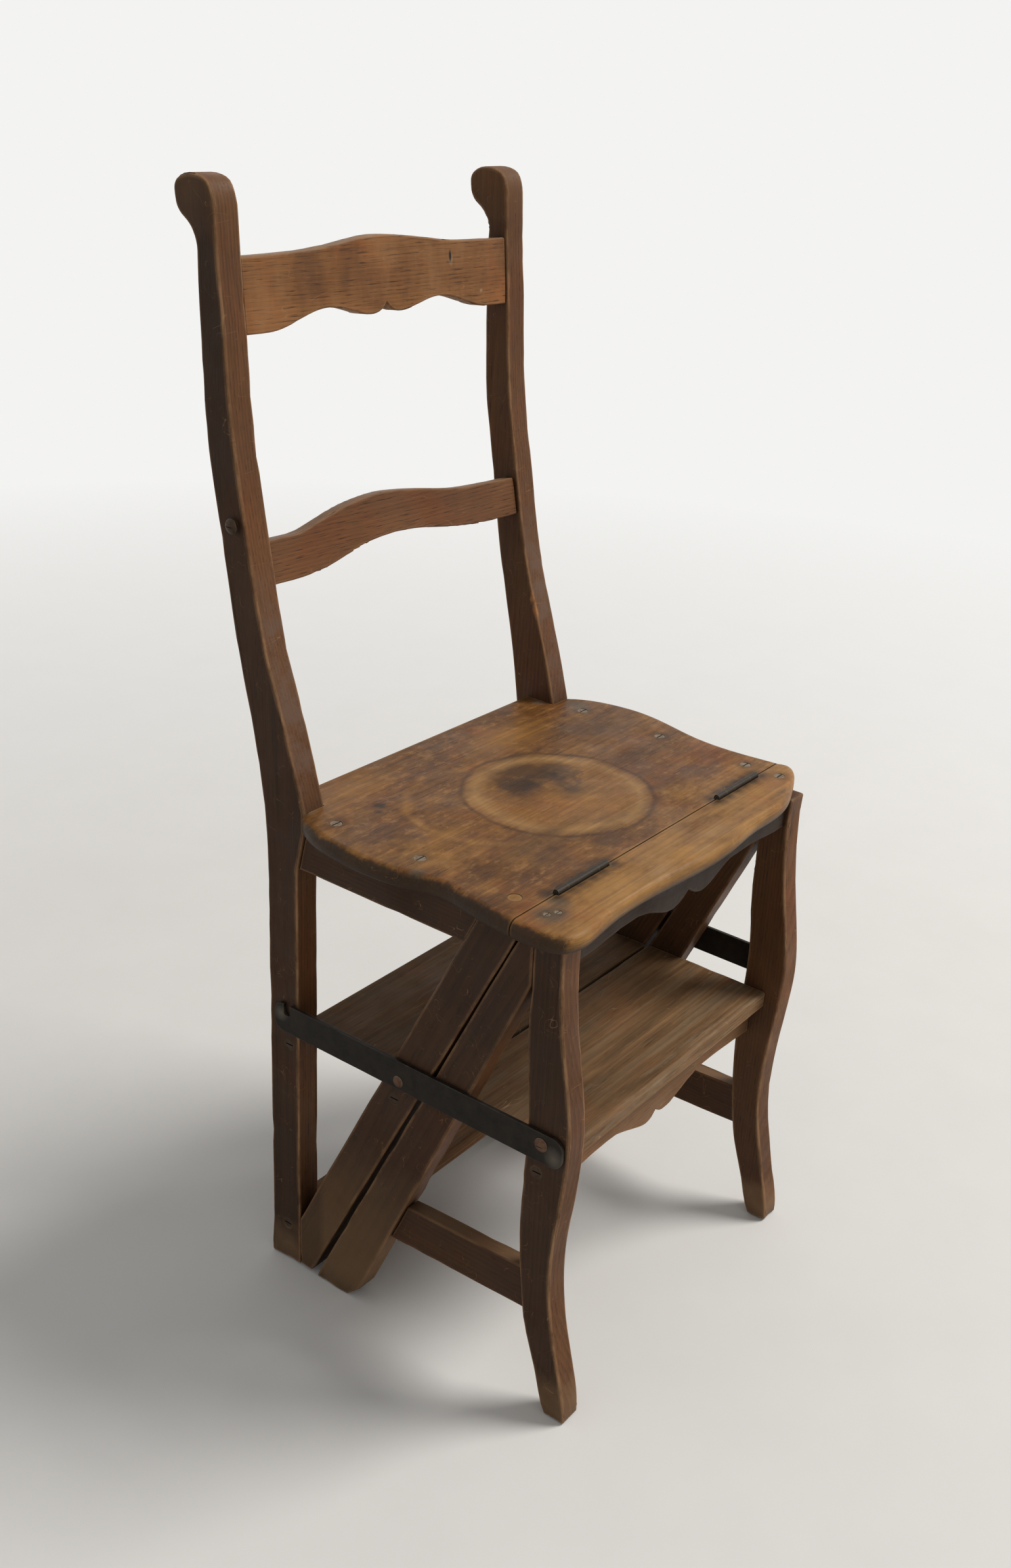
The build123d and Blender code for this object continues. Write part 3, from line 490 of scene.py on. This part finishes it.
def make_oak(name, turn, dark, light, rubbed, marks=None, wear=0.6, grime_and_shade=0.8, roughness=(0.44, 0.7),
             side_shade=None, pore_depth=0.55, streaks=0.0, under_shade=0.0, dust=0.0, reach=0.12, sunk=()):
    """Old waxed oak: grain along a board, darker patches, dirt and painted shade in the corners, and rubbed
    arrises.
    """
    material, tree = new_material(name)
    place = object_place(tree)
    facing = object_facing(tree)
    grain_place = stretch(tree, place, (1, 1, 1), turn)
    grain = use_effect(tree, OAK_GRAIN, Vector=grain_place)
    edges = use_effect(tree, WORN_EDGES, Vector=place, Reach=reach)["Mask"]
    corners = use_effect(tree, GRIME_AND_SHADE, Vector=place, Amount=grime_and_shade)["Mask"]
    knocks = use_effect(tree, KNOCKS, Vector=place)
    smear = ramp(tree, cloud(tree, place, 24.0, 4.0, 0.6), 0.3, 0.7)

    colour = oak_colour(tree, place, grain, dark, light)
    # Painted shade on the flanks of the side boards, darker outside the frame.
    if side_shade:
        colour = paint_side_shade(tree, place, facing, colour, *side_shade)
    colour = blend(tree, times(tree, grain["Pores"], pore_depth), colour, GRIME_AND_SHADE_TONE)
    if marks:
        colour = marks(tree, place, colour)
    if streaks:
        colour = streak(tree, grain_place, colour, streaks)
    # Dirt and painted shade in corners and joints.
    colour = blend(tree, corners, colour, GRIME_AND_SHADE_TONE)
    colour = blend(tree, times(tree, edges, wear), colour, rubbed)
    colour = blend(tree, times(tree, knocks["Scratches"], 0.4), colour, rubbed)
    if sunk:
        rows = [(at_seam(0, y, z), 0.006, 0.0015) for y, z in sunk]
        colour = spots(tree, place, colour, GRIME_AND_SHADE_TONE, rows, 0.75, (0, 1, 1), 0.001)
    if dust:
        colour = lay_dust(tree, facing, smear, colour, dust)
    # Painted shade and dirt on the lower edges and the underside.
    if under_shade:
        colour = paint_under_shade(tree, facing, colour, under_shade)

    shine = ramp(tree, smear, 0.0, 1.0, roughness[0], roughness[1])
    shine = minus(tree, shine, times(tree, edges, 0.08), clamp=True)
    height = times(tree, grain["Fibres"], 0.5)
    height = minus(tree, height, times(tree, grain["Pores"], 0.7))
    height = minus(tree, height, times(tree, knocks["Dents"], 1.2))
    height = plus(tree, height, times(tree, cloud(tree, place, 55.0, 3.0), 0.8))
    finish_material(tree, colour, shine, height)
    return material


def spots(tree, place, colour, tone, rows, strength=0.7, stretched=(1.0, 1.0, 1.0), wobble=0.004):
    """Marks of one tone at given centres: rows of (centre, radius, softness)."""
    mask = None
    for centre, radius, softness in rows:
        one = use_effect(tree, SPOT, Vector=place, Centre=centre, Radius=radius, Softness=softness,
                         Stretch=stretched, Wobble=wobble)["Mask"]
        mask = one if mask is None else calc(tree, "MAXIMUM", mask, one)
    return blend(tree, times(tree, mask, strength), colour, tone)


SEAT_SCREWS = [(160, y) for y in (-15, 19, 109, 194.5)] + [(-169, y) for y in (109, 194.5)]
GOLDEN, BROWN, BLACK = rgb(0.37, 0.18, 0.045), rgb(0.05, 0.0215, 0.0075), rgb(0.016, 0.01, 0.0065)
GREY, RED = rgb(0.085, 0.066, 0.043), rgb(0.22, 0.066, 0.014)


def seat_spots(tree, place, colour, tone, rows, strength=0.7, stretched=(1.0, 1.0, 1.0), wobble=0.004):
    """Marks on the seat's top: rows of (x, y, radius, softness) in millimetres."""
    rows = [(on_seat(x, y), radius / 1000, softness / 1000) for x, y, radius, softness in rows]
    return spots(tree, place, colour, tone, rows, strength, stretched, wobble)


def seat_patches(tree, place, colour):
    """Golden, dull and reddish patches of the seat, its speckle and the paler strip in front."""
    broad = ramp(tree, cloud(tree, stretch(tree, place, (9, 14, 14)), 1.0, 5.0, 0.68), 0.48, 0.62)
    colour = blend(tree, times(tree, broad, 0.45), colour, GOLDEN)
    dull = cloud(tree, stretch(tree, place, (13, 17, 17), (0, 0, 0), (3.1, 0.4, 0)), 1.0, 5.0, 0.7)
    colour = blend(tree, times(tree, ramp(tree, dull, 0.5, 0.63), 0.6), colour, BROWN)
    speckle = cloud(tree, stretch(tree, place, (70, 120, 120)), 1.0, 4.0, 0.7)
    colour = blend(tree, times(tree, ramp(tree, speckle, 0.54, 0.66), 0.4), colour, rgb(0.36, 0.19, 0.07))
    colour = blend(tree, times(tree, ramp(tree, speckle, 0.46, 0.34), 0.45), colour, BROWN)
    front = ramp(tree, axes(tree, place)["Y"], SEAM_Y + 0.004, SEAM_Y - 0.004)
    worn = ramp(tree, cloud(tree, stretch(tree, place, (12, 26, 26)), 1.0, 4.0, 0.6), 0.4, 0.6, 0.2, 0.85)
    colour = blend(tree, times(tree, front, worn), colour, rgb(0.36, 0.185, 0.052))
    ember = ramp(tree, cloud(tree, place, 17.0, 4.0, 0.65, 0.3), 0.54, 0.68)
    return blend(tree, times(tree, ember, 0.45), colour, RED)


def pot_rings(tree, place, colour):
    """The pot's ring with its dark middle, and an older and fainter ring beside it."""
    faint = use_effect(tree, RING_MARK, Vector=place, Centre=on_seat(-58, 128), Radius=0.07, Width=0.006,
                       Wobble=0.006)
    ring = use_effect(tree, RING_MARK, Vector=place, Centre=on_seat(-3, 103), Radius=0.069, Width=0.0115,
                      Wobble=0.005)
    outside = times(tree, faint["Ring"], minus(tree, 1.0, ring["Inside"]))
    colour = blend(tree, times(tree, outside, 0.4), colour, GOLDEN)
    colour = blend(tree, times(tree, ring["Inside"], 0.3), colour, GOLDEN)
    colour = seat_spots(tree, place, colour, BROWN,
                        [(-14, 138, 24, 14), (14, 152, 28, 15), (22, 118, 12, 9)], 0.85, wobble=0.026)
    colour = seat_spots(tree, place, colour, BLACK,
                        [(10, 98, 9, 11), (-8, 131, 9, 10), (30, 128, 7, 10)], 0.75, (0.7, 1, 1), 0.014)
    colour = seat_spots(tree, place, colour, RED, [(-20, 92, 16, 14)], 0.3, wobble=0.014)
    colour = blend(tree, times(tree, ring["Ring"], 0.8), colour, rgb(0.36, 0.2, 0.07))
    return blend(tree, times(tree, ring["Rim"], 0.62), colour, BROWN)


def seat_stains(tree, place, colour):
    """Stains of the seat away from the ring."""
    colour = seat_spots(tree, place, colour, BROWN,
                        [(103, 103, 20, 16), (140, 160, 32, 22), (-92, 60, 18, 14)], 0.55, (0.6, 1, 1), 0.014)
    colour = seat_spots(tree, place, colour, GOLDEN,
                        [(62, 204, 18, 14), (-120, 119, 7, 8), (-118, 228, 16, 14)], 0.5, (0.45, 1, 1), 0.01)
    return seat_spots(tree, place, colour, BLACK, [(-123, 191.5, 4.5, 2), (-131, 184, 3, 2)], 0.8)


def seat_halos(tree, place, colour):
    """Halos of the seat's screws, nails, plug and hinges, grey filler, and the pale chips of its edges."""
    colour = seat_spots(tree, place, colour, BLACK, [(x, y, 7.5, 4.5) for x, y in SEAT_SCREWS], 0.6)
    colour = seat_spots(tree, place, colour, GREY,
                        [(-172, -16, 12, 6), (-155, -10, 7, 7), (-189, 95, 6, 4), (167, 205, 9, 6)], 0.8)
    colour = seat_spots(tree, place, colour, BLACK, [(-173, -13, 4.2, 3), (-165, -17, 4.2, 3)], 0.7)
    plug_edge = use_effect(tree, RING_MARK, Vector=place, Centre=on_seat(-169, 19), Radius=0.0056,
                           Width=0.0018, Wobble=0.0002)["Ring"]
    colour = blend(tree, times(tree, plug_edge, 0.85), colour, BLACK)
    steps = (-34, -20, -7, 7, 20, 34)
    hinge_rows = [(middle + step, 0, 9.5, 5) for middle in (-112.5, 112.5) for step in steps]
    colour = seat_spots(tree, place, colour, BLACK, hinge_rows, 0.85)
    colour = seat_spots(tree, place, colour, rgb(0.34, 0.19, 0.075),
                        [(25, -30, 9, 6), (-3, -41, 4, 3), (-60, -36, 6, 5)], 0.75, (0.5, 1, 1), 0.008)
    return seat_spots(tree, place, colour, rgb(0.3, 0.24, 0.17), [(-168, 226, 6, 4), (148, 237, 5, 4)], 0.6)


def seat_marks(tree, place, colour):
    """All marks of the seat's top, and its dark left edge of dirt and painted shade. Its underside stays
    plain.
    """
    plain = colour
    for marks in (seat_patches, pot_rings, seat_stains, seat_halos):
        colour = marks(tree, place, colour)
    facing = object_facing(tree)
    # The left-facing edge is darkened: dirt and painted shade.
    rough = ramp(tree, cloud(tree, place, 60.0, 4.0, 0.65), 0.35, 0.6, -0.2, 0.15)
    left = ramp(tree, plus(tree, facing["X"], rough), -0.42, -0.75)
    colour = blend(tree, times(tree, left, 0.85), colour, rgb(0.024, 0.014, 0.0075))
    return blend(tree, ramp(tree, facing["Z"], -0.8, -0.3), plain, colour)


def rail_marks(tree, place, colour):
    """Nail hole and chips of the top rail, and its lighter and darker bands."""
    bands = cloud(tree, stretch(tree, place, (22, 4, 9)), 1.0, 4.0, 0.6)
    colour = blend(tree, times(tree, ramp(tree, bands, 0.5, 0.66), 0.5), colour, rgb(0.29, 0.145, 0.058))
    colour = blend(tree, times(tree, ramp(tree, bands, 0.47, 0.34), 0.5), colour, rgb(0.07, 0.029, 0.012))
    colour = spots(tree, place, colour, rgb(0.3, 0.2, 0.12), [(at_seam(80, 303.7, 848), 0.0017, 0.001)],
                   0.5, (1, 1, 0.4))
    colour = spots(tree, place, colour, rgb(0.006, 0.004, 0.003),
                   [(at_seam(79, 303.7, 850.7), 0.0014, 0.0006)], 0.95, (1, 1, 0.35), 0.001)
    chips = [(at_seam(118.7, 301.2, 821), 0.0014, 0.001), (at_seam(1, 303, 812), 0.003, 0.002)]
    return spots(tree, place, colour, rgb(0.4, 0.28, 0.16), chips, 0.8)


def upright_marks(tree, place, colour):
    """Scuffed feet, pale heads, a rubbed stretch and flaked arrises of the posts, and an orange chip."""
    height = axes(tree, place)["Z"]
    uneven = times(tree, cloud(tree, place, 40.0, 3.0), 0.05)
    low = ramp(tree, plus(tree, height, uneven), 0.075, 0.035)
    colour = blend(tree, times(tree, low, 0.62), colour, rgb(0.22, 0.13, 0.066))
    top = ramp(tree, minus(tree, height, uneven), 0.84, 0.9)
    colour = blend(tree, times(tree, top, 0.25), colour, rgb(0.24, 0.12, 0.05))
    above = calc(tree, "ABSOLUTE", minus(tree, plus(tree, height, uneven), 0.56))
    rubbed = ramp(tree, cloud(tree, place, 46.0, 4.0, 0.65), 0.42, 0.6, 0.15, 0.75)
    rubbed = times(tree, ramp(tree, above, 0.12, 0.05), rubbed)
    sideways = calc(tree, "ABSOLUTE", object_facing(tree)["X"])
    rubbed = times(tree, rubbed, ramp(tree, sideways, 0.9, 0.6))
    colour = blend(tree, rubbed, colour, rgb(0.135, 0.083, 0.056))
    arris = times(tree, ramp(tree, sideways, 0.12, 0.35), ramp(tree, sideways, 0.98, 0.85))
    flaked = cloud(tree, stretch(tree, place, (1, 1, 0.35)), 55.0, 4.0, 0.65)
    flaked = ramp(tree, flaked, 0.43, 0.58, 0.08, 0.72)
    colour = blend(tree, times(tree, arris, flaked), colour, rgb(0.34, 0.19, 0.095))
    chips = [(at_seam(152, 249, 545), 0.003, 0.0015), (at_seam(152, 254, 556), 0.002, 0.001)]
    return spots(tree, place, colour, rgb(0.46, 0.2, 0.07), chips, 0.85, (1, 1, 0.4))


def foot_marks(tree, place, colour):
    """Ends of the slanting boards scuffed pale near the floor."""
    spot = axes(tree, place)
    uneven = times(tree, cloud(tree, place, 40.0, 3.0), 0.05)
    low = ramp(tree, plus(tree, spot["Z"], uneven), 0.2, 0.03)
    before = ramp(tree, spot["Y"], 0.068, 0.06, 0.3, 0.7)
    return blend(tree, times(tree, low, before), colour, rgb(0.21, 0.125, 0.06))


def tread_marks(tree, place, colour):
    """Grey streaks and pale wear of the steps, and painted shade on their backs and left ends."""
    lines = cloud(tree, stretch(tree, place, (7, 70, 70)), 1.0, 4.0, 0.6)
    colour = blend(tree, times(tree, ramp(tree, lines, 0.5, 0.62), 0.4), colour, rgb(0.21, 0.155, 0.095))
    colour = blend(tree, times(tree, ramp(tree, lines, 0.46, 0.36), 0.4), colour, rgb(0.05, 0.03, 0.016))
    spot = axes(tree, place)
    front = ramp(tree, spot["Y"], SEAM_Y, SEAM_Y - 0.03)
    chips = ramp(tree, cloud(tree, stretch(tree, place, (16, 110, 110)), 1.0, 5.0, 0.7), 0.5, 0.62)
    colour = blend(tree, times(tree, times(tree, front, chips), 0.5), colour, rgb(0.3, 0.22, 0.14))
    # Painted shade on the backs and left ends of the steps.
    back = ramp(tree, spot["Y"], SEAM_Y + 0.04, SEAM_Y + 0.12)
    left = ramp(tree, spot["X"], 0.0, -0.12)
    shade = times(tree, calc(tree, "MAXIMUM", back, left), 0.6)
    return blend(tree, shade, colour, rgb(0.42, 0.4, 0.38), "MULTIPLY")


def stay_marks(tree, place, colour):
    """Shiny ends of the stays, where they rub when they swing."""
    ends = []
    for x in (-180, 180):
        ends += [(at_seam(x, -39, 258), 0.006, 0.005), (at_seam(x, 247, 266), 0.005, 0.004)]
    return spots(tree, place, colour, rgb(0.2, 0.17, 0.13), ends, 0.5)


def make_iron(name, base, rubbed, rust, wear, marks=None):
    """Blackened iron with bright rubbed edges and a little rust."""
    material, tree = new_material(name)
    place = object_place(tree)
    edges = use_effect(tree, WORN_EDGES, Vector=place, Radius=0.0012, Reach=0.2, Breakup=60.0)["Mask"]
    scale = cloud(tree, place, 120.0, 5.0, 0.65)
    blooms = ramp(tree, cloud(tree, place, 48.0, 4.0, 0.6), 0.54, 0.7)
    colour = blend(tree, ramp(tree, scale, 0.35, 0.7), base, blend(tree, 0.07, base, rubbed))
    colour = blend(tree, times(tree, blooms, 0.5), colour, rust)
    if marks:
        colour = marks(tree, place, colour)
    bright = times(tree, edges, wear)
    colour = blend(tree, bright, colour, rubbed)
    shine = ramp(tree, scale, 0.3, 0.7, 0.4, 0.6)
    finish_material(tree, colour, shine, scale, 0.3, 0.0003, 0.3)
    return material


def make_screw(name, base, rust, rim=0.5):
    """Dull screw heads, darker in the slot with dirt and painted shade, and brighter at the rim."""
    material, tree = new_material(name)
    place = object_place(tree)
    slot = use_effect(tree, GRIME_AND_SHADE, Vector=place, Distance=0.0025, Amount=1.0)["Mask"]
    edges = use_effect(tree, WORN_EDGES, Vector=place, Radius=0.0006, Reach=0.2, Breakup=200.0)["Mask"]
    blooms = ramp(tree, cloud(tree, place, 260.0, 4.0, 0.6), 0.42, 0.66)
    colour = blend(tree, times(tree, blooms, 0.7), base, rust)
    # Dirt and painted shade in the slot.
    colour = blend(tree, slot, colour, rgb(0.02, 0.014, 0.01))
    colour = blend(tree, times(tree, edges, rim), colour, rgb(0.5, 0.45, 0.38))
    shine = ramp(tree, blooms, 0.0, 1.0, 0.34, 0.6)
    finish_material(tree, colour, shine, blooms, 0.3, 0.0002, 0.35)
    return material


FRAME_DARK, FRAME_LIGHT = rgb(0.056, 0.0225, 0.0085), rgb(0.185, 0.079, 0.029)
RUBBED = rgb(0.38, 0.21, 0.1)
upright_oak = make_oak("upright_oak", along(90), FRAME_DARK, FRAME_LIGHT, RUBBED, marks=upright_marks,
                       side_shade=(0.84, 0.4), grime_and_shade=0.65, wear=0.8, reach=0.05, sunk=SIDE_SCREWS)
slanting_oak = make_oak("slanting_oak", along(115.6), FRAME_DARK, FRAME_LIGHT, RUBBED, marks=foot_marks,
                        side_shade=(0.78, 0.5), wear=0.7, reach=0.07, sunk=SIDE_SCREWS)
level_oak = make_oak("level_oak", along(0), FRAME_DARK, FRAME_LIGHT, RUBBED, side_shade=(0.78, 0.6), dust=0.45)
top_rail_oak = make_oak("top_rail_oak", ACROSS, rgb(0.125, 0.049, 0.0155), rgb(0.29, 0.13, 0.044), RUBBED,
                        marks=rail_marks, pore_depth=0.85, dust=0.6)
mid_rail_oak = make_oak("mid_rail_oak", ACROSS, rgb(0.075, 0.0295, 0.0115), rgb(0.2, 0.087, 0.033), RUBBED,
                        pore_depth=0.8, dust=0.4)
apron_oak = make_oak("apron_oak", ACROSS, rgb(0.014, 0.0075, 0.0045), rgb(0.045, 0.024, 0.0135),
                     rgb(0.12, 0.072, 0.042))
tread_apron_oak = make_oak("tread_apron_oak", ACROSS, rgb(0.12, 0.058, 0.024), rgb(0.29, 0.15, 0.066), RUBBED)
tread_oak = make_oak("tread_oak", ACROSS, rgb(0.125, 0.067, 0.029), rgb(0.33, 0.185, 0.083),
                     rgb(0.45, 0.29, 0.155), marks=tread_marks, streaks=0.35, roughness=(0.55, 0.8))
seat_oak = make_oak("seat_oak", ACROSS, rgb(0.088, 0.034, 0.009), rgb(0.25, 0.112, 0.031),
                    rgb(0.38, 0.2, 0.07), marks=seat_marks, wear=0.4, roughness=(0.34, 0.58),
                    streaks=0.32, under_shade=0.9, pore_depth=0.8)
plug_oak = make_oak("plug_oak", ACROSS, rgb(0.2, 0.096, 0.03), rgb(0.32, 0.165, 0.055),
                    rgb(0.36, 0.2, 0.08), grime_and_shade=0.3)
stay_iron = make_iron("stay_iron", rgb(0.011, 0.0085, 0.0065), rgb(0.2, 0.165, 0.13),
                      rgb(0.03, 0.019, 0.012), 0.75, marks=stay_marks)
hinge_iron = make_iron("hinge_iron", rgb(0.03, 0.023, 0.017), rgb(0.2, 0.17, 0.13),
                       rgb(0.06, 0.034, 0.02), 0.6)
grey_screw = make_screw("grey_screw", rgb(0.23, 0.185, 0.13), rgb(0.11, 0.07, 0.04))
dark_screw = make_screw("dark_screw", rgb(0.062, 0.038, 0.024), rgb(0.04, 0.021, 0.012), rim=0.08)
rusty_screw = make_screw("rusty_screw", rgb(0.13, 0.068, 0.04), rgb(0.06, 0.029, 0.017), rim=0.35)


def wear_material(piece, material):
    piece.data.materials.clear()
    piece.data.materials.append(material)


def cover_node(name, material):
    """Give a carried-over node its finish."""
    for slot in nodes[name].material_slots:
        slot.link = "OBJECT"
        slot.material = material


# Pieces


WOOD_WEAR, WOOD_WANDER = 0.0011, 0.0005
IRON_WEAR, IRON_WANDER = 0.0001, 0.0

# For each worn board its material, slot and bevel, and the axis along which it doesn't wander
WORN = {}
for side in ("left", "right"):
    WORN[f"back_post_{side}"] = (upright_oak, "frame_oak", 0.0022, 0)
    WORN[f"front_leg_{side}"] = (upright_oak, "frame_oak", 0.0022, 0)
    WORN[f"front_stringer_{side}"] = (slanting_oak, "frame_oak", 0.0016, 0)
    WORN[f"rear_stringer_{side}"] = (slanting_oak, "frame_oak", 0.0016, 0)
    WORN[f"seat_rail_{side}"] = (level_oak, "frame_oak", 0.001, 0)
    WORN[f"side_stretcher_{side}"] = (level_oak, "frame_oak", 0.0012, 0)
    WORN[f"stay_{side}"] = (stay_iron, "stay_iron", 0.0004, 0)
WORN["top_rail"] = (top_rail_oak, "frame_oak", 0.0016, None)
WORN["mid_rail"] = (mid_rail_oak, "frame_oak", 0.0016, None)
WORN["seat_apron"] = (apron_oak, "frame_oak", 0.0012, None)
WORN["lower_tread_apron"] = (tread_apron_oak, "tread_oak", 0.0012, None)
WORN["lower_tread"] = (tread_oak, "tread_oak", 0.0012, None)
WORN["upper_tread"] = (tread_oak, "tread_oak", 0.0012, None)
WORN["top_tread"] = (tread_oak, "tread_oak", 0.0012, None)

for name, (material, slot, bevel, keep) in WORN.items():
    depth, amount = (IRON_WEAR, IRON_WANDER) if slot == "stay_iron" else (WOOD_WEAR, WOOD_WANDER)
    piece = worn_copy(name, bevel, depth, amount, keep)
    wear_material(piece, material)

for name in nodes:
    if name in WORN:
        continue
    if name in ("seat_panel", "seat_front_strip"):
        cover_node(name, seat_oak)
    elif name == "seat_plug":
        cover_node(name, plug_oak)
    elif name.startswith(("stay_pivot", "stay_rivet")):
        cover_node(name, rusty_screw)
    elif name in ("stay_hook_screws", "lower_tread_screws", "rear_tread_screws"):
        cover_node(name, dark_screw)
    elif "screw" in name or "nail" in name:
        cover_node(name, grey_screw)
    else:
        cover_node(name, hinge_iron)


# Room: a pale floor, a white background and soft light from the front right


def make_floor():
    """A wide pale disc that fades into the background far from the chair."""
    bed = bmesh.new()
    bmesh.ops.create_circle(bed, cap_ends=True, segments=96, radius=9.0)
    mesh = bpy.data.meshes.new("floor")
    bed.to_mesh(mesh)
    bed.free()
    floor = bpy.data.objects.new("floor", mesh)
    scene.collection.objects.link(floor)
    material, tree = new_material("pale_floor")
    place = object_place(tree)
    mottle = cloud(tree, place, 9.0, 5.0, 0.6)
    colour = blend(tree, mottle, rgb(0.74, 0.73, 0.71), rgb(0.8, 0.79, 0.77))
    shader = put(tree, "BsdfPrincipled", Base_Color=colour, Roughness=0.8).outputs[0]
    glow = put(tree, "Emission", Color=rgb(0.9, 0.8955, 0.882), Strength=1.0).outputs[0]
    far = ramp(tree, length_of(tree, place), 0.8, 2.8)
    seen = times(tree, far, put(tree, "LightPath").outputs["Is Camera Ray"])
    mixed = put(tree, "MixShader", i0=seen, i1=shader, i2=glow).outputs[0]
    put(tree, "OutputMaterial", Surface=mixed)
    mesh.materials.append(material)


def add_light(name, place, size, power, colour):
    """A round soft light that looks at the middle of the chair."""
    chair_middle = Vector((0, 0, 0.45))
    data = bpy.data.lights.new(name, "AREA")
    data.shape = "DISK"
    data.size = size
    data.energy = power
    data.color = colour
    lamp = bpy.data.objects.new(name, data)
    lamp.location = place
    lamp.rotation_mode = "QUATERNION"
    lamp.rotation_quaternion = (chair_middle - Vector(place)).to_track_quat("-Z", "Y")
    scene.collection.objects.link(lamp)


def light_world():
    world = bpy.data.worlds.new("world")
    scene.world = world
    world.use_nodes = True
    tree = world.node_tree
    tree.nodes.clear()
    path = put(tree, "LightPath")
    seen = calc(tree, "MAXIMUM", path.outputs["Is Camera Ray"], path.outputs["Is Glossy Ray"])
    strength = ramp(tree, seen, 0.0, 1.0, 0.38, 0.9)
    sky = put(tree, "Background", Color=rgb(1.0, 0.995, 0.98), Strength=strength)
    put(tree, "OutputWorld", Surface=sky.outputs[0])


place_camera()
make_floor()
light_world()
add_light("key", (3.3, -3.1, 5.6), 3.0, 370.0, (1.0, 0.97, 0.93))
